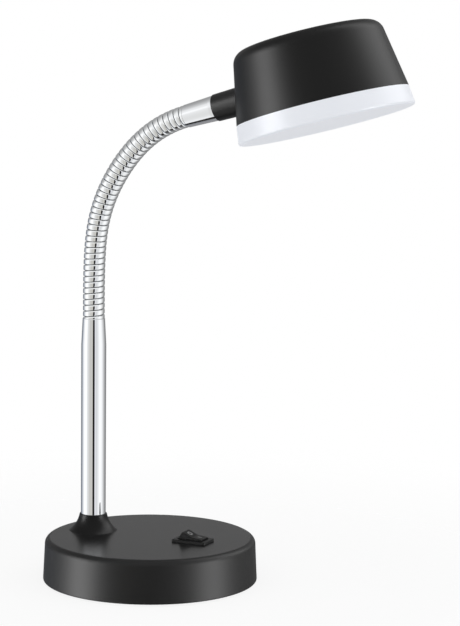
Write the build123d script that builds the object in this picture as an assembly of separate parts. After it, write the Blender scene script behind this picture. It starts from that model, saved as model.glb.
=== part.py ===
"""Gooseneck desk lamp: weighted round base with a rocker switch, chrome post, bending neck, LED head.

Millimetres. +Z is up, +X runs from the post towards the head, and the lamp is symmetric about y = 0.
The origin is the centre of the base on the surface that the lamp stands on.
"""

import math
import os

from build123d import *

# ---------------------------------------------------------------- driving dimensions

# Base cover: a moulded drum, with a flared collar for the post let into it
base_bottom_radius = 64.0
base_taper = 1.3
base_height = 26.2
base_edge_round = 3.6
base_rim_round = 0.8
base_wall = 2.4
base_deck = 2.6
rim_lift = 0.8

collar_height = 10.3
collar_top_radius = 8.2
collar_waist_radius = 10.2
collar_waist_rise = 4.8
collar_lip_round = 0.4
collar_flange_radius = 14.5
collar_flange = 0.6

post_inset = 25.2
post_seat_z = 18.0
post_floor = 3.0
post_boss_radius = 11.0

# Bottom plate, ballast, foot ring and the screws that close the base
plate_thickness = 1.5
plate_gap = 0.6
foot_thickness = 1.2
foot_inset = 2.0
foot_width = 9.0
ballast_side_gap = 4.0
ballast_thickness = 8.0
ballast_gap = 1.0
ballast_hole_gap = 2.0
screw_inset = 17.0
screw_count = 4
screw_boss_radius = 4.0
screw_radius = 1.5
screw_pilot_radius = 1.55
screw_head_radius = 2.8
screw_head_height = 1.2
pan_head_height = 1.7
screw_length = 9.0
screw_point = 0.8
screw_socket_radius = 1.1

# Cord gland in the back of the drum
gland_z = 15.0
gland_neck_radius = 4.0
gland_flange_radius = 5.5
gland_flange = 1.6
gland_bore_radius = 2.7
gland_flat_depth = 0.5
gland_wall_gap = 0.6

# Rocker switch
switch_inset = 35.8
bezel_length = 21.6
bezel_width = 14.2
bezel_height = 1.5
bezel_round = 0.5
housing_length = 18.9
housing_width = 12.0
housing_depth = 15.0
housing_floor = 1.5
housing_bore_length = 16.6
housing_bore_width = 9.4
cutout_gap = 0.15
latch_reach = 0.8
latch_gap = 0.2

rocker_pivot_drop = 1.2
rocker_half_tilt = 15.0
rocker_width = 9.0
rocker_tip_x = 6.5
rocker_tip_rise = 5.6
rocker_face_slope = 9.0
rocker_end_x = 7.5
rocker_end_rise = 2.7
rocker_hip_x = 7.8
rocker_hip_drop = 1.6
rocker_edge_round = 0.4
plunger_boss_half = 2.1
plunger_boss_drop = 4.2
plunger_bore_depth = 3.0
trunnion_radius = 1.2
trunnion_length = 0.7
plunger_radius = 1.2
plunger_reach = 8.85

contact_drop = 9.4
contact_half_tilt = 8.0
contact_length = 12.0
contact_width = 3.0
contact_thickness = 0.6
contact_pin_radius = 0.6
contact_pin_reach = 1.0
terminal_ear = 0.8
terminal_ear_length = 2.6
terminal_ear_gap = 0.3
pad_gap = 0.25
blade_thickness = 0.8
blade_width = 4.8
blade_reach = 5.7

# Post and its fastening
tube_radius = 7.5
tube_wall = 1.0
tube_top_z = 155.3
swage_radius = 6.7
swage_length = 16.0
tube_lip_round = 0.35
thread_radius = 4.9
nipple_bore_radius = 3.6
nut_flats = 14.0
nut_thickness = 4.8
nut_chamfer = 0.6
washer_radius = 8.5
washer_thickness = 1.2
post_plug_length = 14.0
head_plug_length = 10.0

# Neck: wound ribs on a bending core, cut into lengths that meet at ball joints
rib_pitch = 3.45
rib_crest_radius = 6.5
rib_root_radius = 5.9
rib_half_width = 1.45
core_radius = 5.6
core_bore_radius = 2.6
ribs_per_link = 4
link_count = 9
stub_ribs = 3.5
ball_radius = 6.0
lip_drop = 1.9
spigot_radius = 5.0
spigot_length = 13.0
spigot_bore_radius = 3.2
coupler_length = 13.5
# bend of the neck, in degrees, over the lower stub, each link and the upper stub
neck_bends = [0.0, 1.1, 2.4, 6.1, 9.4, 9.0, 7.5, 8.3, 10.6, 11.1, 9.0]

# Head: sleeve, socket, cap, LED plate and diffuser
sleeve_radius = 7.4
sleeve_wall = 0.8
sleeve_visible = 19.6
socket_depth = 8.0
socket_lip_radius = 7.9
socket_end_radius = 8.4
socket_sink = 3.0
socket_visible = 17.22
socket_rise = 15.3
cap_rim_radius = 49.8
cap_top_radius = 42.3
cap_height = 40.7
cap_round = 8.0
cap_wall = 2.0
cap_pad_half = 9.5
cap_pad_depth = 5.3
cap_boss_inset = 22.8
cap_boss_radius = 4.0
cap_boss_count = 3
heat_plate_gap = 0.1
heat_plate_thickness = 1.5
heat_plate_z = 2.0
heat_rim_height = 3.4
wire_hole_inset = 19.1
wire_hole_radius = 3.0
board_inset = 2.2
board_thickness = 1.6
led_length = 3.5
led_width = 2.8
led_height = 0.7
inner_led_radius = 13.0
inner_led_count = 6
outer_led_inset = 6.0
outer_led_count = 18
driver_length = 38.0
driver_width = 26.0
driver_height = 15.0
driver_x = -1.0
diffuser_flare = 1.4
diffuser_height = 11.0
diffuser_wall = 1.8
diffuser_round = 1.2
diffuser_step = 1.5
spigot_ring_height = 4.0
spigot_ring_wall = 1.6

# Clearances
slip_gap = 0.15
press_gap = 0.05
ball_gap = 0.3
thread_gap = 0.05
bolt_gap = 0.25

# ---------------------------------------------------------------- derived levels and places

base_top_radius = base_bottom_radius - base_taper
post_x = post_inset - base_bottom_radius
switch_x = base_bottom_radius - switch_inset
deck_under_z = base_height - base_deck
plate_z = foot_thickness
plate_top_z = plate_z + plate_thickness
ballast_top_z = plate_top_z + ballast_thickness
collar_top_z = base_height + collar_height
floor_under_z = post_seat_z - post_floor
tube_bore_radius = tube_radius - tube_wall
swage_bore_radius = swage_radius - sleeve_wall
bezel_top_z = base_height + bezel_height
housing_bottom_z = base_height - housing_depth
rocker_pivot_z = base_height - rocker_pivot_drop
contact_z = rocker_pivot_z - contact_drop
stub_length = stub_ribs * rib_pitch
link_length = ribs_per_link * rib_pitch
section_lengths = [stub_length] + [link_length] * link_count + [stub_length]
thread_hole_radius = thread_radius + thread_gap
bolt_hole_radius = thread_radius + bolt_gap


def wall_radius(z):
    """Outer radius of the drum at a height, on its straight taper."""
    return base_bottom_radius - base_taper * z / base_height


plate_radius = wall_radius(rim_lift) - base_wall - plate_gap
foot_outer_radius = plate_radius - foot_inset
ballast_radius = wall_radius(ballast_top_z) - base_wall - ballast_side_gap
screw_circle_radius = plate_radius - screw_inset


def ring(outer, inner, height):
    """Flat ring standing on z = 0 around the Z axis."""
    return extrude(Circle(outer) - Circle(inner), amount=height)


def turned(points):
    """Solid of revolution about Z from (radius, z) points."""
    outline = make_face(Polyline(*[(r, 0, z) for r, z in points], close=True))
    return revolve(outline, axis=Axis.Z)


def circle_edges(solid, z, radius, centre_x=0.0):
    """Circular edges of a solid at a height, with a radius and a centre on the X axis."""
    found = []
    for edge in solid.edges().filter_by(GeomType.CIRCLE):
        middle = edge.arc_center
        same_place = abs(middle.Z - z) < 1e-3 and math.hypot(middle.X - centre_x, middle.Y) < 1e-3
        if same_place and abs(edge.radius - radius) < 1e-3:
            found.append(edge)
    return found


def polar(radius, count, start=0.0):
    """Places spread evenly round a circle about Z."""
    places = []
    for i in range(count):
        angle = math.radians(start + 360.0 * i / count)
        places.append(Pos(radius * math.cos(angle), radius * math.sin(angle), 0))
    return places


def hex_nut(flats, thickness, hole):
    """Hex nut standing on z = 0 around the Z axis, with chamfered corners."""
    corner = flats / math.sqrt(3)
    body = extrude(RegularPolygon(corner, 6), amount=thickness)
    dome = turned(
        [
            (0, 0),
            (flats / 2, 0),
            (corner, nut_chamfer),
            (corner, thickness - nut_chamfer),
            (flats / 2, thickness),
            (0, thickness),
        ]
    )
    return (body & dome) - Cylinder(hole, 3 * thickness)


# ---------------------------------------------------------------- base

screw_places = polar(screw_circle_radius, screw_count, 45.0)
at_post = Pos(post_x, 0, 0)


def make_base_cover():
    """Moulded drum, open below, with a seat for the collar, screw bosses, switch and gland holes."""
    drum_height = base_height - rim_lift
    drum = Pos(0, 0, rim_lift + drum_height / 2) * Cone(wall_radius(rim_lift), base_top_radius, drum_height)
    drum = fillet(circle_edges(drum, base_height, base_top_radius), base_edge_round)
    drum = fillet(circle_edges(drum, rim_lift, wall_radius(rim_lift)), base_rim_round)

    hollow_height = deck_under_z - rim_lift
    hollow = Pos(0, 0, rim_lift + hollow_height / 2) * Cone(
        wall_radius(rim_lift) - base_wall, wall_radius(deck_under_z) - base_wall, hollow_height
    )
    hollow = fillet(circle_edges(hollow, deck_under_z, wall_radius(deck_under_z) - base_wall), base_wall)
    cover = drum - hollow

    deck = Pos(post_x, 0, base_height)
    cover -= deck * Cylinder(post_boss_radius + press_gap, 4 * base_deck)
    cover -= deck * Cylinder(collar_flange_radius + press_gap, 2 * collar_flange)

    pillar_height = deck_under_z + 1.0 - plate_top_z
    for place in screw_places:
        pillar = Cylinder(screw_boss_radius, pillar_height)
        cover += place * Pos(0, 0, plate_top_z + pillar_height / 2) * pillar
        cover -= place * Pos(0, 0, plate_top_z) * Cylinder(screw_pilot_radius, 2 * (screw_length + 1.0))

    cutout = Box(housing_length + 2 * cutout_gap, housing_width + 2 * cutout_gap, 4 * base_deck)
    cover -= Pos(switch_x, 0, base_height) * cutout

    at_gland = Pos(-wall_radius(gland_z), 0, gland_z) * Rot(0, 90, 0)
    cover -= at_gland * Cylinder(gland_neck_radius + press_gap, 4 * base_wall)
    cover -= at_gland * Cylinder(gland_flange_radius + slip_gap, 2 * gland_flat_depth)
    return cover


def make_post_collar():
    """Moulded bush: a collar that flares out to the deck, and the seat for the tube below it."""
    foot = (collar_flange_radius, 0, base_height)
    waist = (collar_waist_radius, 0, base_height + collar_waist_rise)
    lip = (collar_top_radius, 0, collar_top_z)
    flange_under_z = base_height - collar_flange
    outline = ThreePointArc(foot, waist, lip) + Polyline(
        lip,
        (0, 0, collar_top_z),
        (0, 0, floor_under_z),
        (post_boss_radius, 0, floor_under_z),
        (post_boss_radius, 0, flange_under_z),
        (collar_flange_radius, 0, flange_under_z),
        foot,
    )
    bush = revolve(make_face(outline), axis=Axis.Z)
    bush = fillet(circle_edges(bush, collar_top_z, collar_top_radius), collar_lip_round)
    bore_height = collar_top_z - post_seat_z + 1.0
    bush -= Pos(0, 0, post_seat_z + bore_height / 2) * Cylinder(tube_radius + press_gap, bore_height)
    bush -= Pos(0, 0, post_seat_z) * Cylinder(bolt_hole_radius, 4 * post_floor)
    return at_post * bush


def make_bottom_plate():
    """Pressed steel disc inside the rim, with countersunk screw holes."""
    plate = Pos(0, 0, plate_z) * extrude(Circle(plate_radius), amount=plate_thickness)
    plate = chamfer(circle_edges(plate, plate_z, plate_radius), 0.3)
    sink_radius = screw_head_radius + slip_gap
    for place in screw_places:
        plate -= place * Pos(0, 0, plate_z) * Cylinder(screw_radius + bolt_gap, 4 * plate_thickness)
        sink = turned(
            [
                (0, 0),
                (sink_radius, 0),
                (sink_radius, 0.1),
                (screw_radius + bolt_gap, screw_head_height),
                (0, screw_head_height),
            ]
        )
        plate -= place * Pos(0, 0, plate_z) * sink
    return plate


def make_base_ballast():
    """Cast iron disc that lies on the bottom plate, cut away around the post nut, bosses and switch."""
    disc = Pos(0, 0, plate_top_z) * extrude(Circle(ballast_radius), amount=ballast_thickness)
    disc = chamfer(circle_edges(disc, ballast_top_z, ballast_radius), 1.0)
    tall = 4 * ballast_thickness
    disc -= Pos(post_x, 0, plate_top_z) * Cylinder(post_boss_radius + ballast_hole_gap, tall)
    disc -= Pos(switch_x, 0, plate_top_z) * Box(
        bezel_length + ballast_hole_gap, bezel_width + ballast_hole_gap, tall
    )
    for place in screw_places:
        disc -= place * Pos(0, 0, plate_top_z) * Cylinder(screw_boss_radius + ballast_gap, tall)
    return disc


def make_foot_ring():
    """Foam ring under the plate, the only thing that touches the table."""
    return ring(foot_outer_radius, foot_outer_radius - foot_width, foot_thickness)


def countersunk_screw():
    """Countersunk screw that points up from its flat head at z = 0, with a hex socket."""
    shank = turned(
        [
            (0, 0),
            (screw_head_radius, 0),
            (screw_radius, screw_head_height),
            (screw_radius, screw_length - screw_point),
            (screw_radius - 0.6, screw_length),
            (0, screw_length),
        ]
    )
    return shank - extrude(RegularPolygon(screw_socket_radius, 6), amount=screw_head_height * 0.7)


def make_plate_screws():
    """Screws that hold the plate to the bosses."""
    screws = []
    for place in screw_places:
        screws.append(place * Pos(0, 0, plate_z) * countersunk_screw())
    return Compound(children=screws)


def make_cord_gland():
    """Rubber bush snapped into the back of the drum, open for the cord."""
    face_x = -wall_radius(gland_z) + gland_flat_depth
    neck = base_wall - gland_flat_depth + gland_wall_gap
    bush = turned(
        [
            (gland_bore_radius, -gland_flange),
            (gland_flange_radius - 0.8, -gland_flange),
            (gland_flange_radius, -gland_flange + 0.8),
            (gland_flange_radius, 0),
            (gland_neck_radius, 0),
            (gland_neck_radius, neck),
            (gland_flange_radius - 0.4, neck),
            (gland_flange_radius - 0.9, neck + gland_flange),
            (gland_bore_radius, neck + gland_flange),
        ]
    )
    return Pos(face_x, 0, gland_z) * Rot(0, 90, 0) * bush


# ---------------------------------------------------------------- rocker switch

at_switch = Pos(switch_x, 0, 0)


def make_switch_housing():
    """Switch body with its bezel, snap latches, pivot holes and terminal slots."""
    bezel = Pos(0, 0, base_height + bezel_height / 2) * Box(bezel_length, bezel_width, bezel_height)
    bezel = fillet(bezel.edges().filter_by(Axis.Z), 1.0)
    bezel = fillet(bezel.faces().sort_by(Axis.Z)[-1].edges(), bezel_round)
    body_height = base_height - housing_bottom_z
    body = Pos(0, 0, housing_bottom_z + body_height / 2) * Box(housing_length, housing_width, body_height)
    housing = bezel + body
    for side in (-1, 1):
        latch_top = deck_under_z - latch_gap
        wedge = make_face(
            Polyline(
                (side * housing_length / 2, 0, latch_top),
                (side * (housing_length / 2 + latch_reach), 0, latch_top),
                (side * housing_length / 2, 0, latch_top - 5.0),
                close=True,
            )
        )
        housing += extrude(wedge, amount=3.0, both=True)
    bore_height = bezel_top_z - housing_bottom_z - housing_floor
    housing -= Pos(0, 0, bezel_top_z - bore_height / 2 + 0.5) * Box(
        housing_bore_length, housing_bore_width, bore_height + 1.0
    )
    pivot_span = rocker_width + 2 * trunnion_length + 2 * 0.1
    housing -= Pos(0, 0, rocker_pivot_z) * Rot(90, 0, 0) * Cylinder(trunnion_radius + press_gap, pivot_span)
    for x, thick_x, thick_y in terminal_slots():
        housing -= Pos(x, 0, housing_bottom_z) * Box(thick_x, thick_y, 4 * housing_floor)
    return at_switch * housing


def terminal_slots():
    """Place and size of the slots in the housing floor that hold the terminal blades."""
    slot = 2 * press_gap
    return [
        (0.0, blade_width + slot, blade_thickness + slot),
        (end_terminal_x(), blade_thickness + slot, blade_width + slot),
    ]


def end_terminal_x():
    """Place of the end terminal's blade, under the outer end of the contact arm."""
    return -(contact_length / 2 + blade_thickness)


def make_switch_terminals():
    """Forked middle terminal that carries the contact arm, and the end terminal with its contact pad."""
    floor_z = housing_bottom_z + housing_floor
    blade_bottom = housing_bottom_z - blade_reach
    seat_width = contact_width + 2 * (terminal_ear_gap + terminal_ear)
    seat = Pos(0, 0, floor_z + blade_thickness / 2) * Box(blade_width, seat_width, blade_thickness)
    middle_height = floor_z + blade_thickness - blade_bottom
    seat += Pos(0, 0, blade_bottom + middle_height / 2) * Box(blade_width, blade_thickness, middle_height)
    for side in (-1, 1):
        ear_height = contact_z + terminal_ear_length / 2 - floor_z
        y = side * (seat_width - terminal_ear) / 2
        seat += Pos(0, y, floor_z + ear_height / 2) * Box(terminal_ear_length, terminal_ear, ear_height)
    seat -= Pos(0, 0, contact_z) * Rot(90, 0, 0) * Cylinder(contact_pin_radius + press_gap, 2 * seat_width)

    arm_drop = contact_length / 2 * math.sin(math.radians(contact_half_tilt))
    pad_top = contact_z - contact_thickness / 2 - arm_drop - pad_gap
    x = end_terminal_x()
    end_height = pad_top - blade_bottom
    end = Pos(x, 0, blade_bottom + end_height / 2) * Box(blade_thickness, blade_width, end_height)
    end += Pos(x + 1.2, 0, pad_top - blade_thickness / 2) * Box(
        2.4 + blade_thickness, contact_width, blade_thickness
    )
    return Compound(children=[at_switch * seat, at_switch * end])


def make_switch_rocker():
    """Black rocker with two sloping faces, trunnions and a socket for the plunger, tilted to ON."""
    dip = rocker_tip_x * math.tan(math.radians(rocker_face_slope))
    outline = [
        (-rocker_tip_x, rocker_tip_rise),
        (0.0, rocker_tip_rise - dip),
        (rocker_tip_x, rocker_tip_rise),
        (rocker_end_x, rocker_end_rise),
        (rocker_hip_x, -rocker_hip_drop),
        (plunger_boss_half, -rocker_hip_drop),
        (plunger_boss_half, -plunger_boss_drop),
        (-plunger_boss_half, -plunger_boss_drop),
        (-plunger_boss_half, -rocker_hip_drop),
        (-rocker_hip_x, -rocker_hip_drop),
        (-rocker_end_x, rocker_end_rise),
    ]
    face = make_face(Polyline(*[(x, 0, z) for x, z in outline], close=True))
    body = extrude(face, amount=rocker_width / 2, both=True)
    top_edges = []
    for edge in body.edges():
        middle = edge.center()
        if middle.Z > rocker_tip_rise - dip - 0.1 and abs(middle.X) > 1.0:
            top_edges.append(edge)
    body = fillet(top_edges, rocker_edge_round)
    span = rocker_width + 2 * trunnion_length
    body += Rot(90, 0, 0) * Cylinder(trunnion_radius, span)
    body -= Pos(0, 0, -plunger_boss_drop) * Cylinder(plunger_radius + press_gap, 2 * plunger_bore_depth)
    return at_switch * Pos(0, 0, rocker_pivot_z) * Rot(0, rocker_half_tilt, 0) * body


def make_switch_plunger():
    """Sprung plunger in the rocker that tips the contact arm over."""
    top = plunger_bore_depth - slip_gap - plunger_boss_drop
    straight = top + plunger_reach - plunger_radius
    pin = Pos(0, 0, top - straight / 2) * Cylinder(plunger_radius, straight)
    pin += Pos(0, 0, top - straight) * Sphere(plunger_radius)
    return at_switch * Pos(0, 0, rocker_pivot_z) * Rot(0, rocker_half_tilt, 0) * pin


def make_switch_contact():
    """Brass see-saw arm on the middle terminal, tipped the other way from the rocker."""
    arm = Box(contact_length, contact_width, contact_thickness)
    arm += Rot(90, 0, 0) * Cylinder(contact_pin_radius, contact_width + 2 * contact_pin_reach)
    return at_switch * Pos(0, 0, contact_z) * Rot(0, -contact_half_tilt, 0) * arm


# ---------------------------------------------------------------- post


def swaged_tube(length, swage, big, big_bore, small, small_bore):
    """Tube from z = 0, drawn down over its last stretch."""
    return turned(
        [
            (big_bore, 0),
            (big, 0),
            (big, length - swage),
            (small, length),
            (small_bore, length),
            (big_bore, length - swage),
        ]
    )


def make_post_tube():
    """Chrome steel tube, seated on the floor of the cover's boss and drawn down at the top."""
    length = tube_top_z - post_seat_z
    tube = swaged_tube(length, swage_length, tube_radius, tube_bore_radius, swage_radius, swage_bore_radius)
    tube = fillet(circle_edges(tube, length, swage_radius), tube_lip_round)
    return at_post * Pos(0, 0, post_seat_z) * tube


def threaded_plug(radius, length):
    """Steel bush with a threaded hole, standing on z = 0."""
    plug = ring(radius, thread_hole_radius, length)
    return chamfer(circle_edges(plug, length, radius), 0.5)


def make_post_plug():
    """Bush pressed into the foot of the tube, which the nipple screws into."""
    return at_post * Pos(0, 0, post_seat_z) * threaded_plug(tube_bore_radius - press_gap, post_plug_length)


def nipple(length):
    """Hollow threaded stud from z = 0, with its ends chamfered."""
    stud = ring(thread_radius, nipple_bore_radius, length)
    ends = circle_edges(stud, 0, thread_radius) + circle_edges(stud, length, thread_radius)
    return chamfer(ends, 0.4)


def make_post_nipple():
    """Hollow threaded stud that joins the post to the cover and passes the wires."""
    bottom = floor_under_z - washer_thickness - nut_thickness - 1.0
    top = post_seat_z + post_plug_length - 1.0
    return at_post * Pos(0, 0, bottom) * nipple(top - bottom)


def make_post_washer():
    """Flat washer under the boss."""
    return at_post * Pos(0, 0, floor_under_z - washer_thickness) * ring(
        washer_radius, bolt_hole_radius, washer_thickness
    )


def make_post_nut():
    """Hex nut that draws the post down onto the boss."""
    return at_post * Pos(0, 0, floor_under_z - washer_thickness - nut_thickness) * hex_nut(
        nut_flats, nut_thickness, thread_hole_radius
    )


# ---------------------------------------------------------------- neck

def neck_planes():
    """Plane at the start of each length of neck and at the end, with z along the neck and x in the bend."""
    planes = [Plane(origin=(post_x, 0, tube_top_z), x_dir=(1, 0, 0), z_dir=(0, 0, 1))]
    heading = 0.0
    x = post_x
    z = tube_top_z
    for length, bend in zip(section_lengths, neck_bends):
        x, z, heading = advance(x, z, heading, length, bend)
        planes.append(facing(x, z, heading))
    return planes


def advance(x, z, heading, length, bend):
    """End of an arc of neck that starts at x, z and turns by bend degrees over its length."""
    turn = math.radians(bend)
    chord = length if abs(turn) < 1e-9 else 2 * math.sin(turn / 2) * length / turn
    middle = math.radians(heading + bend / 2)
    return x + chord * math.sin(middle), z + chord * math.cos(middle), heading + bend


def facing(x, z, heading):
    """Plane square to the neck where it points heading degrees away from straight up."""
    angle = math.radians(heading)
    return Plane(
        origin=(x, 0, z),
        x_dir=(math.cos(angle), 0, -math.sin(angle)),
        z_dir=(math.sin(angle), 0, math.cos(angle)),
    )


def along(plane, distance, length, bend):
    """Plane a distance along an arc of neck that starts on a plane."""
    if abs(bend) < 1e-9:
        return plane.offset(distance)
    start_heading = math.degrees(math.atan2(plane.z_dir.X, plane.z_dir.Z))
    part = bend * distance / length
    x, z, heading = advance(plane.origin.X, plane.origin.Z, start_heading, distance, part)
    return facing(x, z, heading)


def core(plane, start, stop, length, bend, radius):
    """Round core of the neck between two distances along an arc."""
    first = along(plane, start, length, bend)
    if abs(bend) < 1e-9:
        return first * extrude(Circle(radius), amount=stop - start)
    bend_radius = length / math.radians(bend)
    centre = plane.origin + plane.x_dir * bend_radius
    axis = Axis(origin=tuple(centre), direction=(0, 1, 0))
    return revolve(first * Circle(radius), axis=axis, revolution_arc=bend * (stop - start) / length)


def rib():
    """One turn of the winding, centred on z = 0."""
    outline = Polyline(
        (rib_root_radius, 0, rib_half_width),
        (spigot_radius, 0, rib_half_width),
        (spigot_radius, 0, -rib_half_width),
        (rib_root_radius, 0, -rib_half_width),
    )
    crest = ThreePointArc(
        (rib_root_radius, 0, -rib_half_width),
        (rib_crest_radius, 0, 0),
        (rib_root_radius, 0, rib_half_width),
    )
    return revolve(make_face(outline + crest), axis=Axis.Z)


def lip():
    """First turn of a link, thickened into the mouth of its ball socket, with z = 0 at the joint."""
    top = rib_pitch + rib_half_width
    edge = 0.3
    return turned(
        [
            (spigot_radius, lip_drop),
            (rib_crest_radius - edge, lip_drop),
            (rib_crest_radius, lip_drop + edge),
            (rib_crest_radius, top - 2 * edge),
            (rib_root_radius, top),
            (spigot_radius, top),
        ]
    )


def neck_length(index, planes, socket, ball):
    """One rigid length of neck: ribs on a curved core, a socket below and a ball above."""
    plane = planes[index]
    length = section_lengths[index]
    bend = neck_bends[index]
    start = lip_drop + 0.8 if socket else 0.0
    body = core(plane, start, length, length, bend, core_radius)
    if socket:
        body += plane * lip()
    rib_total = round(length / rib_pitch + 0.01)
    for i in range(rib_total):
        place = i * rib_pitch if socket else (i + 0.5) * rib_pitch
        under_lip = socket and i < 2
        if not under_lip and place < length - rib_half_width:
            body += along(plane, place, length, bend) * rib()
    if ball:
        body += planes[index + 1] * Sphere(ball_radius)
    if socket:
        body -= plane * Sphere(ball_radius + ball_gap)
    return body


def bored(body, plane, index, past_end):
    """Wire passage through a length of neck, carried on a distance past its end."""
    length = section_lengths[index]
    return body - core(plane, 0.0, length + past_end, length, neck_bends[index], core_bore_radius)


def make_neck_lower_stub(planes):
    """Lower end of the neck: a plain spigot in the tube, ribs, and the first ball."""
    body = neck_length(0, planes, socket=False, ball=True)
    body += planes[0].offset(-spigot_length) * extrude(Circle(spigot_radius), amount=spigot_length + 1.0)
    body -= planes[0].offset(-spigot_length - 1.0) * extrude(
        Circle(core_bore_radius), amount=spigot_length + stub_length + ball_radius + 2.0
    )
    return body


def make_neck_link(index, planes):
    """Middle length of the neck."""
    body = neck_length(index, planes, socket=True, ball=True)
    return bored(body, planes[index], index, ball_radius + 1.0)


def make_neck_upper_stub(planes):
    """Upper end of the neck: the last socket, ribs, and a plain spigot in the sleeve."""
    last = len(section_lengths) - 1
    body = neck_length(last, planes, socket=True, ball=False)
    body += planes[-1].offset(-1.0) * extrude(Circle(spigot_radius), amount=spigot_length + 1.0)
    body = bored(body, planes[last], last, 2.0)
    return body - planes[-1].offset(1.0) * extrude(Circle(spigot_bore_radius), amount=spigot_length)


def coupler(big, big_bore, swage):
    """Tapered ferrule around the neck's spigot, wedged in a drawn-down tube; z = 0 is the tube's end."""
    top = -0.5
    bottom = -coupler_length

    def bore_at(z):
        return swage_bore_radius + (big_bore - swage_bore_radius) * min(1.0, -z / swage)

    return turned(
        [
            (spigot_radius + press_gap, bottom),
            (bore_at(bottom) - press_gap, bottom),
            (bore_at(top) - press_gap, top),
            (spigot_radius + press_gap, top),
        ]
    )


def make_lower_coupler(planes):
    """Ferrule that joins the neck to the post tube."""
    return planes[0] * coupler(tube_radius, tube_bore_radius, swage_length)


# ---------------------------------------------------------------- head


def head_plane(planes):
    """Plane of the cap's rim: x runs away from the neck, z is the cap's own axis."""
    end = planes[-1]
    away = end.z_dir
    up = -end.x_dir
    origin = end.origin - away * neck_end_x - up * socket_rise
    return Plane(origin=origin, x_dir=away, z_dir=up)


cap_slope = (cap_rim_radius - cap_top_radius) / cap_height


def cap_radius(z):
    """Outer radius of the cap at a height above its rim."""
    return cap_rim_radius - cap_slope * z


cap_side_wall = cap_wall * math.sqrt(1 + cap_slope**2)
sleeve_mouth_x = -cap_radius(socket_rise) - socket_visible
sleeve_end_x = sleeve_mouth_x + socket_depth
neck_end_x = sleeve_mouth_x - sleeve_visible
spigot_ring_outer = cap_rim_radius - cap_side_wall - slip_gap
spigot_ring_top = spigot_ring_outer - cap_slope * spigot_ring_height
spigot_ring_inner = spigot_ring_top - spigot_ring_wall
heat_plate_radius = spigot_ring_inner - heat_plate_gap
board_radius = heat_plate_radius - board_inset
cap_boss_circle = cap_rim_radius - cap_boss_inset
wire_hole_x = wire_hole_inset - heat_plate_radius
led_rings = [(inner_led_radius, inner_led_count), (board_radius - outer_led_inset, outer_led_count)]


def on_socket_axis(x):
    """Place on the axis of the socket, with z pointing away from the neck."""
    return Pos(x, 0, socket_rise) * Rot(0, 90, 0)


def make_upper_sleeve():
    """Short chrome sleeve, drawn down onto the neck and housed in the black socket."""
    length = sleeve_end_x - neck_end_x
    bore = sleeve_radius - sleeve_wall
    sleeve = swaged_tube(length, sleeve_visible - 2.0, sleeve_radius, bore, swage_radius, swage_bore_radius)
    sleeve = fillet(circle_edges(sleeve, length, swage_radius), tube_lip_round)
    return on_socket_axis(sleeve_end_x) * Rot(180, 0, 0) * sleeve


def make_upper_coupler():
    """Ferrule that joins the neck to the sleeve."""
    ferrule = coupler(sleeve_radius, sleeve_radius - sleeve_wall, sleeve_visible - 2.0)
    return on_socket_axis(neck_end_x) * Rot(180, 0, 0) * ferrule


def make_sleeve_plug():
    """Bush pressed into the sleeve's wide end, which the head's nipple screws into."""
    plug = threaded_plug(sleeve_radius - sleeve_wall - press_gap, head_plug_length)
    return on_socket_axis(sleeve_end_x) * Rot(180, 0, 0) * plug


def make_head_socket():
    """Black moulded socket between the sleeve and the cap, hollow at both ends."""
    tip_x = socket_sink - cap_radius(socket_rise)
    length = tip_x - sleeve_mouth_x
    body = turned([(0, 0), (socket_lip_radius, 0), (socket_end_radius, length), (0, length)])
    body = fillet(circle_edges(body, 0, socket_lip_radius), 0.3)
    body -= Pos(0, 0, socket_depth / 2) * Cylinder(sleeve_radius + press_gap, socket_depth)
    body -= Cylinder(bolt_hole_radius, 4 * length)
    placed = on_socket_axis(sleeve_mouth_x) * body
    return placed - cap_cone(press_gap)


def cap_cone(growth):
    """Solid cone of the cap's outside, grown all round its axis."""
    body = Cone(cap_rim_radius + growth, cap_top_radius + growth, cap_height)
    return Pos(0, 0, cap_height / 2) * body


def make_cap():
    """Black cap: tapered shell with a rounded top, a flat pad behind the socket and three bosses."""
    outside = fillet(circle_edges(cap_cone(0.0), cap_height, cap_top_radius), cap_round)
    depth = cap_height - cap_wall
    ceiling_radius = cap_radius(depth) - cap_side_wall
    inside = Pos(0, 0, depth / 2) * Cone(cap_rim_radius - cap_side_wall, ceiling_radius, depth)
    inside = fillet(circle_edges(inside, depth, ceiling_radius), cap_round - cap_wall)
    cap = outside - inside

    pad_depth = 2 * cap_pad_depth
    pad = Box(pad_depth, 2 * cap_pad_half, 2 * cap_pad_half)
    pad = Pos(pad_face_x() - pad_depth / 2, 0, socket_rise) * pad
    cap += pad & cap_cone(-cap_wall / 2)
    cap -= on_socket_axis(-cap_radius(socket_rise)) * Cylinder(bolt_hole_radius, 4 * cap_pad_depth)

    boss_bottom = heat_plate_z + heat_plate_thickness
    boss_height = depth + 0.5 - boss_bottom
    for place in boss_places():
        cap += place * Pos(0, 0, boss_bottom + boss_height / 2) * Cylinder(cap_boss_radius, boss_height)
        cap -= place * Pos(0, 0, boss_bottom) * Cylinder(screw_pilot_radius, 2 * (screw_length + 1.0))
    return cap


def pad_face_x():
    """Inner face of the pad that the washer and nut bear on."""
    return -cap_radius(socket_rise) + cap_pad_depth


def boss_places():
    """Places of the cap's screw bosses."""
    return polar(cap_boss_circle, cap_boss_count)


def make_head_nipple():
    """Hollow threaded stud through the socket and the cap's pad."""
    start = sleeve_end_x - head_plug_length + 1.0
    stop = pad_face_x() + washer_thickness + nut_thickness + 1.0
    return on_socket_axis(start) * nipple(stop - start)


def make_head_washer():
    """Washer inside the cap."""
    return on_socket_axis(pad_face_x()) * ring(washer_radius, bolt_hole_radius, washer_thickness)


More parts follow.
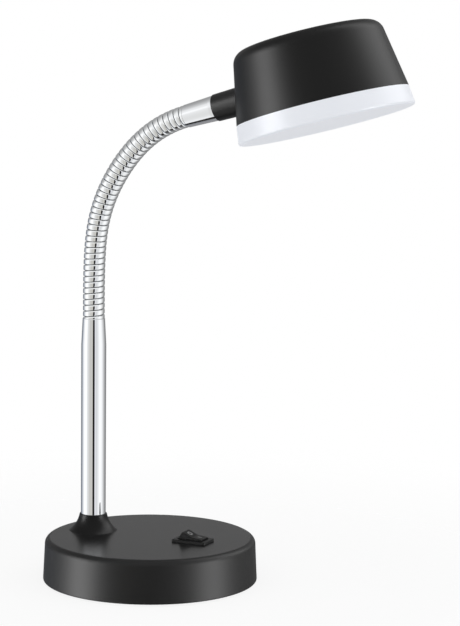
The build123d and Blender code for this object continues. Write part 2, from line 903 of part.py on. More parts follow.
def make_head_nut():
    """Nut inside the cap that clamps the socket to it."""
    nut = hex_nut(nut_flats, nut_thickness, thread_hole_radius)
    return on_socket_axis(pad_face_x() + washer_thickness) * nut


def make_heat_plate():
    """Pressed aluminium pan that carries the LED board and spreads its heat."""
    plate = Pos(0, 0, heat_plate_z) * extrude(Circle(heat_plate_radius), amount=heat_plate_thickness)
    rim = ring(heat_plate_radius, heat_plate_radius - heat_plate_thickness, heat_rim_height)
    plate += Pos(0, 0, heat_plate_z) * rim
    for place in boss_places():
        plate -= place * Pos(0, 0, heat_plate_z) * Cylinder(screw_radius + bolt_gap, 4 * heat_plate_thickness)
    plate -= Pos(wire_hole_x, 0, heat_plate_z) * Cylinder(wire_hole_radius, 4 * heat_plate_thickness)
    return plate


def make_led_board():
    """Round metal-core board under the heat plate."""
    bottom = heat_plate_z - board_thickness
    board = Pos(0, 0, bottom) * extrude(Circle(board_radius), amount=board_thickness)
    for place in boss_places():
        board -= place * Pos(0, 0, bottom) * Cylinder(screw_radius + bolt_gap, 4 * board_thickness)
    return board - Pos(wire_hole_x, 0, bottom) * Cylinder(wire_hole_radius, 4 * board_thickness)


def make_led_chips():
    """Surface-mount LEDs in two rings on the board, facing down."""
    top = heat_plate_z - board_thickness
    chips = []
    for radius, count in led_rings:
        for i in range(count):
            turn = Rot(0, 0, 360.0 * (i + 0.5) / count)
            chip = Box(led_length, led_width, led_height)
            chips.append(turn * Pos(radius, 0, top - led_height / 2) * chip)
    return Compound(children=chips)


def pan_screw():
    """Pan-head screw that points up, with its head below z = 0 and a hex socket."""
    head = turned(
        [
            (0, 0),
            (screw_head_radius, 0),
            (screw_head_radius, -pan_head_height / 2),
            (screw_head_radius - 0.8, -pan_head_height),
            (0, -pan_head_height),
        ]
    )
    shank = turned(
        [
            (0, 0),
            (screw_radius, 0),
            (screw_radius, screw_length - screw_point),
            (screw_radius - 0.6, screw_length),
            (0, screw_length),
        ]
    )
    socket = Pos(0, 0, -pan_head_height) * extrude(RegularPolygon(screw_socket_radius, 6), amount=1.0)
    return head + shank - socket


def make_board_screws():
    """Screws that hold the board and the heat plate to the cap's bosses."""
    screws = []
    for place in boss_places():
        screws.append(place * Pos(0, 0, heat_plate_z - board_thickness) * pan_screw())
    return Compound(children=screws)


def make_led_driver():
    """Potted LED driver in a small case on the heat plate."""
    bottom = heat_plate_z + heat_plate_thickness
    case = Pos(driver_x, 0, bottom + driver_height / 2) * Box(driver_length, driver_width, driver_height)
    case = fillet(case.edges().filter_by(Axis.Z), 2.0)
    case = chamfer(case.faces().sort_by(Axis.Z)[-1].edges(), 0.8)
    lid_line = Pos(driver_x, 0, bottom + driver_height - 3.0) * (
        Box(driver_length + 1, driver_width + 1, 0.5) - Box(driver_length - 1, driver_width - 1, 0.5)
    )
    return case - lid_line


def make_diffuser():
    """Opal diffuser: a shallow dish with a spigot ring that snaps inside the cap's rim."""
    bottom_radius = cap_rim_radius + diffuser_flare
    inner_z = diffuser_wall - diffuser_height
    inner_bottom = cap_rim_radius - diffuser_flare * inner_z / diffuser_height - diffuser_wall
    dish = turned(
        [
            (0, -diffuser_height),
            (bottom_radius, -diffuser_height),
            (cap_rim_radius, 0),
            (spigot_ring_outer, 0),
            (spigot_ring_top, spigot_ring_height),
            (spigot_ring_inner, spigot_ring_height),
            (spigot_ring_inner, -diffuser_step),
            (inner_bottom, inner_z),
            (0, inner_z),
        ]
    )
    return fillet(circle_edges(dish, -diffuser_height, bottom_radius), diffuser_round)


# ---------------------------------------------------------------- assembly


def build_parts():
    """Every node of the lamp by name, in place."""
    planes = neck_planes()
    head = Location(head_plane(planes))
    parts = {
        "base_cover": make_base_cover(),
        "post_collar": make_post_collar(),
        "bottom_plate": make_bottom_plate(),
        "base_ballast": make_base_ballast(),
        "foot_ring": make_foot_ring(),
        "plate_screws": make_plate_screws(),
        "cord_gland": make_cord_gland(),
        "switch_housing": make_switch_housing(),
        "switch_terminals": make_switch_terminals(),
        "switch_rocker": make_switch_rocker(),
        "switch_plunger": make_switch_plunger(),
        "switch_contact": make_switch_contact(),
        "post_tube": make_post_tube(),
        "post_plug": make_post_plug(),
        "post_nipple": make_post_nipple(),
        "post_washer": make_post_washer(),
        "post_nut": make_post_nut(),
        "neck_lower_coupler": make_lower_coupler(planes),
        "neck_lower_stub": make_neck_lower_stub(planes),
    }
    for index in range(1, link_count + 1):
        parts[f"neck_link_{index}"] = make_neck_link(index, planes)
    parts["neck_upper_stub"] = make_neck_upper_stub(planes)
    head_parts = {
        "neck_upper_coupler": make_upper_coupler(),
        "upper_sleeve": make_upper_sleeve(),
        "sleeve_plug": make_sleeve_plug(),
        "head_socket": make_head_socket(),
        "head_nipple": make_head_nipple(),
        "head_washer": make_head_washer(),
        "head_nut": make_head_nut(),
        "cap": make_cap(),
        "heat_plate": make_heat_plate(),
        "led_board": make_led_board(),
        "led_chips": make_led_chips(),
        "board_screws": make_board_screws(),
        "led_driver": make_led_driver(),
        "diffuser": make_diffuser(),
    }
    for name, solid in head_parts.items():
        parts[name] = head * solid
    return parts


os.makedirs("parts", exist_ok=True)
for part_name, part_solid in build_parts().items():
    export_step(part_solid, f"parts/{part_name}.step")
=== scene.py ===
import math

import bmesh
import bpy
from mathutils import Matrix, Vector


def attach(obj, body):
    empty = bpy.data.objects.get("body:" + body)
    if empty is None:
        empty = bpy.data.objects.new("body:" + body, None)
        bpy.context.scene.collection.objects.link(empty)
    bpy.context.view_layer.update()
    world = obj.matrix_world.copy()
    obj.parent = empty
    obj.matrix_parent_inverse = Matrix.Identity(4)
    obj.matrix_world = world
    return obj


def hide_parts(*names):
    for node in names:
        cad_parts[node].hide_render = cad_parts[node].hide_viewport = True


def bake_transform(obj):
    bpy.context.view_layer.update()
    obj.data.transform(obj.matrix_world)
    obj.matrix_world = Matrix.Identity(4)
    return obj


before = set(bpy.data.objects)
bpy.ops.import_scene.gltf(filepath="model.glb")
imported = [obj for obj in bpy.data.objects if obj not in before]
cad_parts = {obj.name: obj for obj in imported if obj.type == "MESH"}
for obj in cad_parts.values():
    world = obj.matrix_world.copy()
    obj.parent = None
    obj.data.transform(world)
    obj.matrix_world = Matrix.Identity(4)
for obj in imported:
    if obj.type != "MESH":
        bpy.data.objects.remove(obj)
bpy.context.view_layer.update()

# ---------------------------------------------------------------- Camera
# A long lens a little above the lamp's middle, in front of the lamp and to its right. It looks
# slightly down, so that the top of the base shows as a narrow ellipse.

camera_place = (0.5804, -1.1418, 0.3235)
camera_turn = math.radians(24.879)
camera_pitch = math.radians(7.226)
camera_roll = math.radians(0.618)
camera_data = bpy.data.cameras.new("camera")
camera_data.lens = 125.72
camera_data.clip_start = 0.05
camera = bpy.data.objects.new("camera", camera_data)
bpy.context.scene.collection.objects.link(camera)
camera.matrix_world = (
    Matrix.Translation(camera_place)
    @ Matrix.Rotation(camera_turn, 4, "Z")
    @ Matrix.Rotation(math.radians(90) - camera_pitch, 4, "X")
    @ Matrix.Rotation(camera_roll, 4, "Z")
)
bpy.context.scene.camera = camera
bpy.context.scene.view_settings.view_transform = "Standard"

# ---------------------------------------------------------------- Studio
# A pale table in a white tent, with a tall softbox on each side of the lamp, another high up behind
# it to the right, and a soft panel overhead. The narrow dark slit in the tent's front, which the
# lens looks through, shows as a thin dark line down the chrome.


class Link:
    """One output of a shader node. Arithmetic on it adds Math nodes."""

    def __init__(self, shader, socket):
        self.shader = shader
        self.socket = socket

    def math(self, operation, *values):
        sockets = dict(enumerate(values))
        return self.shader.node("ShaderNodeMath", {"operation": operation}, sockets)

    def __add__(self, other):
        return self.math("ADD", self, other)

    def __radd__(self, other):
        return self.math("ADD", other, self)

    def __sub__(self, other):
        return self.math("SUBTRACT", self, other)

    def __rsub__(self, other):
        return self.math("SUBTRACT", other, self)

    def __mul__(self, other):
        return self.math("MULTIPLY", self, other)

    def __rmul__(self, other):
        return self.math("MULTIPLY", other, self)

    def __truediv__(self, other):
        return self.math("DIVIDE", self, other)


class Shader:
    """The nodes of one material, or of the world."""

    def __init__(self, owner):
        owner.use_nodes = True
        self.tree = owner.node_tree

    def node(self, kind, settings=None, sockets=None, output=0):
        """New node, fed by numbers, colours or the outputs of other nodes."""
        made = self.tree.nodes.new(kind)
        for name, value in (settings or {}).items():
            if name == "stops":
                self.set_stops(made.color_ramp, value)
            else:
                setattr(made, name, value)
        for name, value in (sockets or {}).items():
            if isinstance(value, Link):
                self.tree.links.new(value.socket, made.inputs[name])
            else:
                made.inputs[name].default_value = value
        return Link(self, made.outputs[output] if len(made.outputs) else None)

    def set_stops(self, ramp, stops):
        """Fills a colour ramp from (position, colour) pairs."""
        while len(ramp.elements) < len(stops):
            ramp.elements.new(0.5)
        for element, (position, colour) in zip(ramp.elements, stops):
            element.position = position
            element.color = colour

    def mix(self, factor, first, second):
        """First colour where the factor is 0, second where it is 1."""
        # sockets 6 and 7 are the node's two colours, and output 2 is the mixed one
        sockets = {"Factor": factor, 6: first, 7: second}
        return self.node("ShaderNodeMix", {"data_type": "RGBA"}, sockets, output=2)

    def fade(self, value, start, stop):
        """1 below start, 0 above stop, and smooth between them."""
        settings = {"interpolation_type": "SMOOTHSTEP"}
        sockets = {
            "Value": value,
            "From Min": start,
            "From Max": stop,
            "To Min": 1.0,
            "To Max": 0.0,
        }
        return self.node("ShaderNodeMapRange", settings, sockets)


class Finish(Shader):
    """A material with one Principled shader. Constants are set on the shader's own sockets."""

    def __init__(self, name, constants):
        self.material = bpy.data.materials.new(name)
        super().__init__(self.material)
        self.surface = self.tree.nodes["Principled BSDF"]
        for socket, value in constants.items():
            self.surface.inputs[socket].default_value = value
        self.place = self.node("ShaderNodeTexCoord", output="Object")

    def feed(self, socket, link):
        """Drives a socket of the Principled shader by a node's output."""
        self.tree.links.new(link.socket, self.surface.inputs[socket])

    def noise(self, scale, detail=2.0, stretch=(1, 1, 1)):
        """Cloudy values from 0 to 1; the scale is in bumps per metre."""
        where = self.node(
            "ShaderNodeVectorMath", {"operation": "MULTIPLY"}, {0: self.place, 1: stretch}
        )
        return self.node(
            "ShaderNodeTexNoise", {}, {"Vector": where, "Scale": scale, "Detail": detail}
        )

    def bump(self, height, distance, strength=1.0):
        """Relief on the surface; the distance is its depth in metres."""
        sockets = {"Height": height, "Distance": distance, "Strength": strength}
        self.feed("Normal", self.node("ShaderNodeBump", {}, sockets))


def grey(value):
    return (value, value, value, 1.0)


world = bpy.data.worlds.new("studio")
bpy.context.scene.world = world
tent = Shader(world)
tent.tree.nodes.clear()
direction = tent.node("ShaderNodeTexCoord", output="Generated")


def along(axis):
    """Share of the direction that points along an axis."""
    settings = {"operation": "DOT_PRODUCT"}
    return tent.node("ShaderNodeVectorMath", settings, {0: direction, 1: axis}, output="Value")


to_front = along((math.sin(camera_turn), -math.cos(camera_turn), 0))
to_right = along((math.cos(camera_turn), math.sin(camera_turn), 0))
upward = along((0, 0, 1))
# from -1 to 1, a half turn to the left or right of the front
azimuth = to_right.math("ARCTAN2", to_right, to_front) / math.pi

# brightness round the horizon, by degrees to the right of the front
horizon = [
    (-180, (0.32, 0.32, 0.33)),
    (-158, (0.22, 0.23, 0.25)),
    (-128, (0.25, 0.28, 0.33)),
    (-109, (0.80, 0.81, 0.85)),
    (-96, (1.00, 1.00, 1.00)),
    (-60, (0.98, 0.98, 0.98)),
    (-50, (0.82, 0.82, 0.81)),
    (-39, (0.75, 0.74, 0.72)),
    (-29, (0.62, 0.61, 0.58)),
    (-20, (0.66, 0.65, 0.61)),
    (-6.5, (0.66, 0.64, 0.60)),
    (-3.5, (0.01, 0.01, 0.01)),
    (11, (0.01, 0.01, 0.01)),
    (14, (0.62, 0.62, 0.66)),
    (21, (0.93, 0.93, 0.95)),
    (28, (0.72, 0.73, 0.74)),
    (38, (0.82, 0.83, 0.84)),
    (50, (1.00, 1.00, 1.00)),
    (95, (0.92, 0.92, 0.92)),
    (111, (0.57, 0.57, 0.57)),
    (130, (0.32, 0.32, 0.32)),
    (158, (0.22, 0.22, 0.22)),
    (180, (0.32, 0.32, 0.33)),
]
horizon_stops = [(0.5 + degrees / 360, (*colour, 1.0)) for degrees, colour in horizon]
around = tent.node(
    "ShaderNodeValToRGB", {"stops": horizon_stops}, {"Fac": azimuth * 0.5 + 0.5}
)

# brightness over the lamp, from straight behind it to straight in front
arch = [
    (0.0, 0.31),
    (0.05, 0.34),
    (0.18, 0.38),
    (0.33, 0.48),
    (0.5, 0.68),
    (0.6, 0.92),
    (0.7, 1.0),
    (0.9, 1.0),
    (0.97, 0.95),
    (1.0, 0.85),
]
arch_stops = [(position, grey(value)) for position, value in arch]
above = tent.node("ShaderNodeValToRGB", {"stops": arch_stops}, {"Fac": to_front * 0.5 + 0.5})

# a softbox is even over its core and fades out towards its sides, foot and top
box_core = 0.55
box_fade = 0.25


def soft_box(centre, half_width, foot, top, strength):
    """Glow of a softbox at degrees from the front; foot and top are 0 level and 1 straight up."""
    offset = azimuth - centre / 180
    edge = half_width / 180
    across = tent.fade(offset.math("ABSOLUTE", offset), box_core * edge, edge)
    rise = tent.fade(upward, top - box_fade, top)
    drop = 1 - tent.fade(upward, foot, foot + box_fade)
    return across * rise * drop * strength


left_box = soft_box(centre=-76, half_width=19, foot=-0.65, top=0.45, strength=1.27)
right_box = soft_box(centre=71, half_width=19, foot=-0.65, top=0.4, strength=1.05)
high_box = soft_box(centre=109, half_width=34, foot=0.15, top=1.2, strength=0.35)

# the boxes light satin faces strongly, and stay just under white in a perfect mirror
satin_boost = 9.0
mirror_cut = 0.84
ray = "ShaderNodeLightPath"
is_camera = tent.node(ray, output="Is Camera Ray")
is_glossy = tent.node(ray, output="Is Glossy Ray")
is_mirrored = tent.node(ray, output="Is Singular Ray")
first_bounce = is_glossy * tent.fade(tent.node(ray, output="Glossy Depth"), 1.2, 1.8)
gain = 1 + satin_boost * first_bounce * (1 - is_mirrored)
boxes = (left_box + right_box + high_box) * (gain * (1 - mirror_cut * is_mirrored))

# the wall behind the lamp glows faintly, from the height of the table up
wall_glow = 0.1
wall_side = (-0.96, -0.8)
wall_foot = (-0.03, 0.08)
wall_top = (0.3, 0.55)
behind = tent.fade(to_front, *wall_side)
over_table = (1 - tent.fade(upward, *wall_foot)) * tent.fade(upward, *wall_top)
boxes = boxes + behind * over_table * wall_glow
glow = tent.node("ShaderNodeCombineColor", {}, {0: boxes, 1: boxes, 2: boxes})
# the light round the horizon turns into the light of the arch over this rise
arch_foot = (0.04, 0.22)
tent_light = tent.mix(tent.fade(upward, *arch_foot), above, around)
studio = tent.node("ShaderNodeVectorMath", {"operation": "ADD"}, {0: tent_light, 1: glow})
# the camera sees plain white past the lamp
seen = tent.mix(is_camera, studio, grey(1.0))
background = tent.node("ShaderNodeBackground", {}, {"Color": seen, "Strength": 1.0})
tent.node("ShaderNodeOutputWorld", {}, {"Surface": background})

# the lens sees the table mostly as plain white, and it fades out with distance from the lamp
table_half = 1.5
table_white = 0.85
table_fade = (0.12, 0.45)
table_hole = (0.058, 0.060)
table_mesh = bpy.data.meshes.new("table")
corners = [(x * table_half, y * table_half, 0) for x, y in ((-1, -1), (1, -1), (1, 1), (-1, 1))]
table_mesh.from_pydata(corners, [], [(0, 1, 2, 3)])
table = bpy.data.objects.new("table", table_mesh)
bpy.context.scene.collection.objects.link(table)
table.visible_glossy = False
table_finish = Finish(
    "pale_table", {"Base Color": grey(0.9), "Roughness": 0.9, "Specular IOR Level": 0.0}
)
table_seen = table_finish.node(ray, output="Is Camera Ray")
white = table_finish.node("ShaderNodeEmission", {}, {"Color": grey(1.0)})
lit = Link(table_finish, table_finish.surface.outputs[0])
near = table_finish.node("ShaderNodeMixShader", {}, {0: table_seen * table_white, 1: lit, 2: white})
clear = table_finish.node("ShaderNodeBsdfTransparent")
reach = table_finish.node(
    "ShaderNodeVectorMath", {"operation": "LENGTH"}, {0: table_finish.place}, output="Value"
)
# from below the table is clear, and a hole in it under the lamp lets light reach the lamp's foot
below = table_finish.node("ShaderNodeNewGeometry", output="Backfacing")
solid = table_finish.fade(reach, *table_fade) * (1 - below)
hole = table_finish.fade(reach, *table_hole)
vanish = 1 - (1 - hole) * (1 - table_seen * (1 - solid))
table_surface = table_finish.node("ShaderNodeMixShader", {}, {0: vanish, 1: near, 2: clear})
table_end = table_finish.tree.nodes["Material Output"]
table_finish.tree.links.new(table_surface.socket, table_end.inputs["Surface"])
table_mesh.materials.append(table_finish.material)

panel_data = bpy.data.lights.new("overhead_panel", "AREA")
panel_data.shape = "DISK"
panel_data.size = 1.6
panel_data.energy = 2.5
panel = bpy.data.objects.new("overhead_panel", panel_data)
panel.location = (0.1, 0.0, 1.6)
panel.visible_glossy = False
panel.visible_camera = False
bpy.context.scene.collection.objects.link(panel)

# ---------------------------------------------------------------- Base drum
# The round cover of the base, injection moulded in black ABS. Spark-eroded grain in the mould
# gives its side a satin finish, and the flat deck comes out smoother.


def dress(finish, *names):
    """Gives a finish to pieces of the frame."""
    for name in names:
        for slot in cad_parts[name].material_slots:
            slot.material = finish.material


grain_rough = 0.05
cloud_rough = 0.04
# share of a face's direction that is straight up, at the rounded edge and on the flat deck
deck_tilt = (0.96, 0.995)


def satin_plastic(name, colour, gloss, rough, deck_rough=None):
    """Black moulded plastic with fine grain. A flat deck may be smoother than the sides."""
    made = Finish(name, {"Specular IOR Level": gloss})
    grain = made.noise(1800.0)
    cloud = made.noise(35.0, 3.0)
    made.feed("Base Color", made.mix(cloud, grey(0.8 * colour), grey(1.2 * colour)))
    if deck_rough:
        facing = made.node("ShaderNodeTexCoord", output="Normal")
        up_share = made.node(
            "ShaderNodeVectorMath",
            {"operation": "DOT_PRODUCT"},
            {0: facing, 1: (0, 0, 1)},
            output="Value",
        )
        rough = deck_rough + (rough - deck_rough) * made.fade(up_share, *deck_tilt)
    spread = grain_rough * grain + cloud_rough * cloud - (grain_rough + cloud_rough) / 2
    made.feed("Roughness", rough + spread)
    made.bump(grain, distance=0.00002, strength=0.6)
    return made


drum_plastic = satin_plastic(
    "satin_black_drum", colour=0.0105, gloss=0.18, rough=0.43, deck_rough=0.24
)
dress(drum_plastic, "base_cover")
# the flat deck would paint a dark flame up the foot of the polished tube
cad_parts["base_cover"].visible_glossy = False

# ---------------------------------------------------------------- Post collar
# A moulded bush of the same black ABS, set into a seat in the deck. Its collar flares out from
# the tube to the deck, and the tube stands on the floor of the bush below.

# the collar's colour is set darker than the drum's, as painted shade
collar_plastic = satin_plastic("satin_black_collar", colour=0.004, gloss=0.125, rough=0.34)
dress(collar_plastic, "post_collar")

# ---------------------------------------------------------------- Rocker switch
# A snap-in rocker switch in black nylon with a low sheen, with brass blades and a brass see-saw
# contact under a white acetal plunger. O and I are white paint pressed into the two faces.

switch_nylon = Finish("black_nylon", {"Specular IOR Level": 0.12})
flow = switch_nylon.noise(300.0)
switch_nylon.feed("Base Color", switch_nylon.mix(flow, grey(0.004), grey(0.008)))
switch_nylon.feed("Roughness", 0.32 + 0.1 * flow)
dress(switch_nylon, "switch_housing", "switch_rocker")

acetal = Finish("white_acetal", {"Base Color": (0.75, 0.75, 0.72, 1)})
acetal.feed("Roughness", 0.4 + 0.1 * acetal.noise(300.0))
dress(acetal, "switch_plunger")

brass = Finish("brass_strip", {"Metallic": 1.0})
tarnish = brass.noise(400.0, 3.0)
brass.feed("Base Color", brass.mix(tarnish, (0.78, 0.58, 0.28, 1), (0.62, 0.42, 0.18, 1)))
brass.feed("Roughness", 0.22 + 0.18 * tarnish)
dress(brass, "switch_terminals", "switch_contact")

sharp_edge = math.radians(50)


def add_mesh(name, points, faces, finish, slot, smooth=True):
    """New closed object from points and faces, with its faces turned outwards."""
    mesh = bpy.data.meshes.new(name)
    mesh.from_pydata(points, [], faces)
    shell = bmesh.new()
    shell.from_mesh(mesh)
    bmesh.ops.recalc_face_normals(shell, faces=shell.faces)
    shell.to_mesh(mesh)
    shell.free()
    mesh.polygons.foreach_set("use_smooth", [smooth] * len(mesh.polygons))
    mesh.set_sharp_from_angle(angle=sharp_edge)
    mesh.materials.append(finish.material)
    piece = bpy.data.objects.new(name, mesh)
    bpy.context.scene.collection.objects.link(piece)
    return piece


rocker_pivot = Vector((0.0282, 0.0, 0.0250))
rocker_tilt = math.radians(15)
face_slope = math.radians(9)
face_valley = 0.00457
mark_sunk = 0.00006
mark_proud = 0.00003
mark_place = 0.0033
ring_outer = 0.0016
ring_inner = 0.0011
bar_half_length = 0.0013
bar_half_width = 0.00028
mark_sides = 32


def on_rocker(x, y, rise):
    """Point over the two sloping faces of the rocker, which is pressed down at its right end."""
    height = face_valley + abs(x) * math.tan(face_slope) + rise
    across = x * math.cos(rocker_tilt) + height * math.sin(rocker_tilt)
    up = height * math.cos(rocker_tilt) - x * math.sin(rocker_tilt)
    return rocker_pivot + Vector((across, y, up))


def add_mark(name, outline, hole=None):
    """Flat painted mark: an outline of (x, y) points on the rocker's face, and perhaps a hole."""
    loops = [(outline, -mark_sunk), (outline, mark_proud)]
    if hole:
        loops += [(hole, mark_proud), (hole, -mark_sunk)]
    count = len(outline)
    points = [on_rocker(x, y, rise) for loop, rise in loops for x, y in loop]
    faces = []
    for band in range(4 if hole else 1):
        a, b = band * count, (band + 1) % 4 * count
        for i in range(count):
            j = (i + 1) % count
            faces.append((a + i, a + j, b + j, b + i))
    if not hole:
        faces += [tuple(range(count)), tuple(range(count, 2 * count))]
    piece = add_mesh(name, points, faces, mark_paint, "white_plastic", smooth=False)
    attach(piece, "rocker")


mark_paint = Finish("white_mark", {"Specular IOR Level": 0.3})
chalk = mark_paint.noise(900.0)
mark_paint.feed("Base Color", mark_paint.mix(chalk, grey(0.25), grey(0.38)))
mark_paint.feed("Roughness", 0.45 + 0.15 * chalk)
turns = [2 * math.pi * i / mark_sides for i in range(mark_sides)]
ring_loops = [
    [(radius * math.cos(a) - mark_place, radius * math.sin(a)) for a in turns]
    for radius in (ring_outer, ring_inner)
]
add_mark("switch_mark_off", *ring_loops)
bar = []
for a in turns:
    end = math.copysign(bar_half_length - bar_half_width, math.cos(a))
    bar.append((mark_place + end + bar_half_width * math.cos(a), bar_half_width * math.sin(a)))
add_mark("switch_mark_on", bar)

# ---------------------------------------------------------------- Cord gland
# A bush of black rubber snapped into the back of the drum, where it keeps the hole's edge off
# the cord. It is dull, with a faint bloom.

black_rubber = Finish("black_rubber", {})
bloom = black_rubber.noise(400.0, 4.0)
black_rubber.feed("Base Color", black_rubber.mix(bloom, grey(0.012), grey(0.03)))
black_rubber.feed("Roughness", 0.55 + 0.2 * bloom)
dress(black_rubber, "cord_gland")

# ---------------------------------------------------------------- Post
# A straight steel tube, drawn down at its top, polished round and round and chrome plated. It
# stands in the collar on a plug, held by a hollow screw, a washer and a nut of zinc-plated steel.

bright_chrome = Finish("bright_chrome", {"Metallic": 1.0, "Roughness": 0.0})
haze = bright_chrome.noise(60.0, 3.0)
polish = bright_chrome.noise(900.0, 2.0, (0.1, 0.1, 1.0))
bright_chrome.feed(
    "Base Color", bright_chrome.mix(haze, (0.84, 0.86, 0.89, 1), (0.88, 0.89, 0.90, 1))
)
bright_chrome.bump(haze + 0.1 * polish, distance=0.00001, strength=0.5)
dress(bright_chrome, "post_tube")

zinc = Finish("zinc_plate", {"Metallic": 1.0})
spangle = zinc.noise(300.0, 4.0)
zinc.feed("Base Color", zinc.mix(spangle, (0.60, 0.61, 0.62, 1), (0.50, 0.49, 0.45, 1)))
zinc.feed("Roughness", 0.28 + 0.2 * spangle)
dress(zinc, "post_plug", "post_nipple", "post_washer", "post_nut")

# ---------------------------------------------------------------- Ballast
# A disc of cast iron that lies on the bottom plate and keeps the lamp from tipping. It is left
# as cast, rough from the sand of its mould.

cast_iron = Finish("cast_iron", {"Metallic": 0.6})
sand = cast_iron.noise(500.0, 6.0)
cast_iron.feed("Base Color", cast_iron.mix(sand, (0.06, 0.058, 0.055, 1), (0.13, 0.11, 0.10, 1)))
cast_iron.feed("Roughness", 0.6 + 0.3 * sand)
cast_iron.bump(sand, distance=0.0003)
dress(cast_iron, "base_ballast")

# ---------------------------------------------------------------- Bottom plate
# A stamped disc of zinc-plated steel that closes the base from below. Four countersunk screws
# hold it to the bosses of the drum.

dress(zinc, "bottom_plate", "plate_screws")

# ---------------------------------------------------------------- Foot ring
# A ring of black cellular rubber, punched from sheet and glued under the plate so that the lamp
# doesn't slide.

black_foam = Finish("black_foam", {"Roughness": 0.9, "Specular IOR Level": 0.2})
cells = black_foam.node(
    "ShaderNodeTexVoronoi", {}, {"Vector": black_foam.place, "Scale": 1500.0}
)
black_foam.feed("Base Color", black_foam.mix(cells, grey(0.012), grey(0.03)))
black_foam.bump(cells, distance=0.0001)
dress(black_foam, "foot_ring")

# ---------------------------------------------------------------- Neck
# Bright steel strip wound round and round a flexible core into a neck that stays where it is
# bent. A turned ferrule wedges each end into its tube. One length of winding crosses each
# hinge of the frame and bends over it; its ends lie on the hidden side.

dress(zinc, "neck_lower_coupler", "neck_upper_coupler")

pitch = 0.00345
rib_radius = 0.0065
groove_radius = 0.0057
strip_inner_radius = 0.0052
strip_share = 0.453
rib_squareness = 4.0
core_radius = 0.0055
turn_count = 43
steps_per_turn = 40
hinge_count = 10
first_hinge_turn = 3.5
turns_per_link = 4
hinge_turns = [first_hinge_turn + turns_per_link * i for i in range(hinge_count)]
# degrees of bend up to the first hinge, between the hinges, and past the last
bends = [0.0, 1.1, 2.4, 6.1, 9.4, 9.0, 7.5, 8.3, 10.6, 11.1, 9.0]
bend_turns = [0.0] + hinge_turns + [float(turn_count)]
neck_foot = Vector((-0.0388, 0.0, 0.1553))
cut_side = math.radians(-60)


def neck_point(distance):
    """Place on the neck's axis and its heading from straight up, a distance along it."""
    x, z, heading = neck_foot.x, neck_foot.z, 0.0
    for first, last, bend in zip(bend_turns, bend_turns[1:], bends):
        length = (last - first) * pitch
        step = max(distance - first * pitch, 0.0)
        if last != bend_turns[-1]:
            step = min(step, length)
        swing = math.radians(bend) * step / length
        chord = step if abs(swing) < 1e-9 else 2 * math.sin(swing / 2) * step / swing
        x += chord * math.sin(heading + swing / 2)
        z += chord * math.cos(heading + swing / 2)
        heading += swing
    return x, z + min(distance, 0.0), heading


def on_neck(distance, radius, angle):
    """Point at a radius and an angle round the neck's axis; angle 0 is the outside of the bend."""
    x, z, heading = neck_point(distance)
    across = radius * math.cos(angle)
    return (
        x + across * math.cos(heading),
        radius * math.sin(angle),
        z - across * math.sin(heading),
    )


# the strip's section: a squarish rib, closed by a flat inside
strip_profile = []
profile_steps = 12
for i in range(profile_steps + 1):
    a = math.pi * (1 - i / profile_steps)
    across = math.copysign(abs(math.cos(a)) ** (2 / rib_squareness), math.cos(a))
    crown = math.sin(a) ** (2 / rib_squareness)
    strip_profile.append(
        (strip_share * pitch * across, groove_radius + (rib_radius - groove_radius) * crown)
    )
strip_profile.append((strip_share * pitch, strip_inner_radius))
strip_profile.append((-strip_share * pitch, strip_inner_radius))

neck_length = turn_count * pitch
end_gap = 0.00005
core_sides = 32
core_steps_per_turn = 2


def joined_rings(count, width):
    """Faces of a closed tube over rings of points, with both ends capped."""
    faces = []
    for i in range(count - 1):
        for j in range(width):
            k = (j + 1) % width
            a, b = i * width, (i + 1) * width
            faces.append((a + j, a + k, b + k, b + j))
    faces.append(tuple(range(width)))
    faces.append(tuple((count - 1) * width + j for j in reversed(range(width))))
    return faces


def winding(first_turn, last_turn):
    """Points and faces of the strip between two counts of turns."""
    count = round((last_turn - first_turn) * steps_per_turn) + 1
    points = []
    for i in range(count):
        turn = first_turn + i / steps_per_turn
        angle = 2 * math.pi * turn + cut_side
        for offset, radius in strip_profile:
            distance = min(max(turn * pitch + offset, end_gap), neck_length - end_gap)
            points.append(on_neck(distance, radius, angle))
    return points, joined_rings(count, len(strip_profile))


def inner_tube(first_turn, last_turn):
    """Points and faces of the tube that shows between the turns, coloured near black as painted
    shade.
    """
    count = round((last_turn - first_turn) * core_steps_per_turn) + 1
    points = []
    for i in range(count):
        turn = first_turn + i / core_steps_per_turn
        distance = min(max(turn * pitch, end_gap), neck_length - end_gap)
        for j in range(core_sides):
            points.append(on_neck(distance, core_radius, 2 * math.pi * j / core_sides))
    return points, joined_rings(count, core_sides)


strip_chrome = Finish("strip_chrome", {"Metallic": 1.0, "Roughness": 0.0})
drawn = strip_chrome.noise(250.0, 3.0)
strip_chrome.feed(
    "Base Color", strip_chrome.mix(drawn, (0.84, 0.87, 0.90, 1), (0.90, 0.90, 0.89, 1))
)
strip_chrome.bump(drawn, distance=0.00001, strength=0.5)
# the core is coloured near black as painted shade for the grooves between the turns, and its tone
# varies at random
core_painted_shade = Finish("core_painted_shade", {"Metallic": 0.5, "Specular IOR Level": 0.3})
shade_mottle = core_painted_shade.noise(200.0)
core_painted_shade.feed("Base Color", core_painted_shade.mix(shade_mottle, (0.02, 0.02, 0.022, 1), (0.05, 0.05, 0.052, 1)))
core_painted_shade.feed("Roughness", 0.4 + 0.2 * shade_mottle)

middles = [turn + turns_per_link / 2 for turn in hinge_turns[:-1]]
overrun = 0.5
cuts = [-overrun] + middles + [turn_count + overrun]
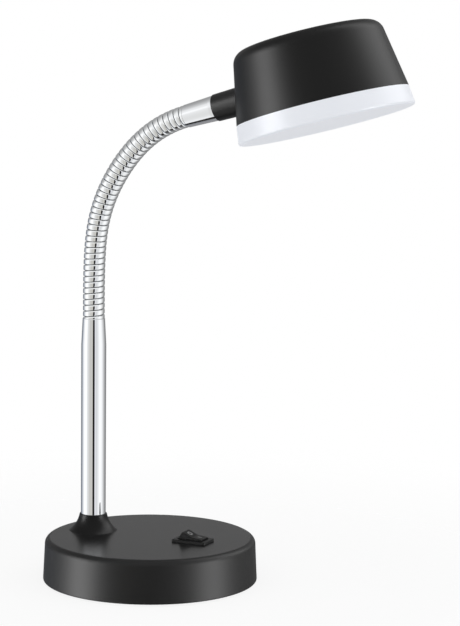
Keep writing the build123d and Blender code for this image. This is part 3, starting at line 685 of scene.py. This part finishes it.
# turns on each side of a hinge at which the loop below reads the neck's axis; what it reads is not
# used
bending_turns = 1.5
for i, hinge in enumerate(hinge_turns):
    for turn in (hinge - bending_turns, hinge + bending_turns):
        x, z, heading = neck_point(turn * pitch)
    between = (cuts[i], cuts[i + 1])
    strip = add_mesh(f"neck_winding_{i + 1}", *winding(*between), strip_chrome, "neck_chrome")
    core = add_mesh(f"neck_core_{i + 1}", *inner_tube(*between), core_painted_shade, "neck_chrome")
    for piece in (strip, core):
        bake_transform(piece)
    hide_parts(f"neck_link_{i}" if i else "neck_lower_stub")
    if hinge == hinge_turns[-1]:
        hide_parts("neck_upper_stub")

# ---------------------------------------------------------------- Upper sleeve
# A short chrome-plated steel tube, drawn down onto the neck's last turn. Its far end sits deep in
# the socket, with a threaded bush pressed into it.

dress(bright_chrome, "upper_sleeve")
dress(zinc, "sleeve_plug")

# ---------------------------------------------------------------- Head socket
# The black moulded stub between sleeve and cap. A hollow screw with a washer and a nut
# inside the cap clamps it to the cap's side.

# the socket's colour is set darker than the drum's, as painted shade
socket_plastic = satin_plastic("satin_black_socket", colour=0.005, gloss=0.27, rough=0.36)
dress(socket_plastic, "head_socket")
dress(zinc, "head_nipple", "head_washer", "head_nut")

# ---------------------------------------------------------------- Cap
# The shade of the head, a tapered cup with a well-rounded top edge. It is moulded in black ABS
# with the same fine grain as the drum.

# the cap's colour is set darker than the drum's, as painted shade on its front
cap_plastic = satin_plastic("satin_black_cap", colour=0.002, gloss=0.19, rough=0.43)
dress(cap_plastic, "cap")

# ---------------------------------------------------------------- Heat plate and LED board
# A pressed aluminium plate on three bosses of the cap, and on it a white board with two rings
# of yellow LEDs. Three small screws go through both.

aluminium = Finish("pressed_aluminium", {"Metallic": 1.0})
rolled = aluminium.noise(200.0, 3.0, (1.0, 0.05, 1.0))
aluminium.feed(
    "Base Color", aluminium.mix(rolled, (0.72, 0.72, 0.74, 1), (0.66, 0.66, 0.67, 1))
)
aluminium.feed("Roughness", 0.3 + 0.15 * rolled)
dress(aluminium, "heat_plate")

solder_mask = Finish("white_solder_mask", {})
print_haze = solder_mask.noise(300.0)
solder_mask.feed(
    "Base Color", solder_mask.mix(print_haze, (0.80, 0.82, 0.80, 1), (0.74, 0.76, 0.75, 1))
)
solder_mask.feed("Roughness", 0.35 + 0.1 * print_haze)
dress(solder_mask, "led_board")

phosphor = Finish("yellow_phosphor", {})
speckle = phosphor.noise(900.0)
phosphor.feed("Base Color", phosphor.mix(speckle, (0.85, 0.72, 0.20, 1), (0.9, 0.8, 0.34, 1)))
phosphor.feed("Roughness", 0.3 + 0.1 * speckle)
dress(phosphor, "led_chips")
dress(zinc, "board_screws")

# ---------------------------------------------------------------- LED driver
# The power supply of the LEDs, potted in a small case of white plastic. It stands on the heat
# plate inside the cap.

dress(acetal, "led_driver")

# ---------------------------------------------------------------- Diffuser
# A shallow dish moulded in opal acrylic, snapped into the cap's rim. Light from the room goes
# a little way in, and a painted glow in its emission lifts it, so it looks white to the edge.

# the emission is a painted glow that stands in for room light on the dish, mostly on its underside;
# the base colour is set lower to go with it
opal = Finish(
    "opal_acrylic",
    {
        "Subsurface Weight": 0.25,
        "Subsurface Radius": (1.0, 1.0, 1.0),
        "Subsurface Scale": 0.004,
        "Emission Color": (0.93, 0.95, 1.0, 1),
        "Emission Strength": 0.46,
        "Specular IOR Level": 0.3,
    },
)
milk = opal.noise(80.0)
opal.feed("Base Color", opal.mix(milk, (0.345, 0.36, 0.385, 1), (0.38, 0.39, 0.415, 1)))
opal.feed("Roughness", 0.32 + 0.08 * milk)
dress(opal, "diffuser")
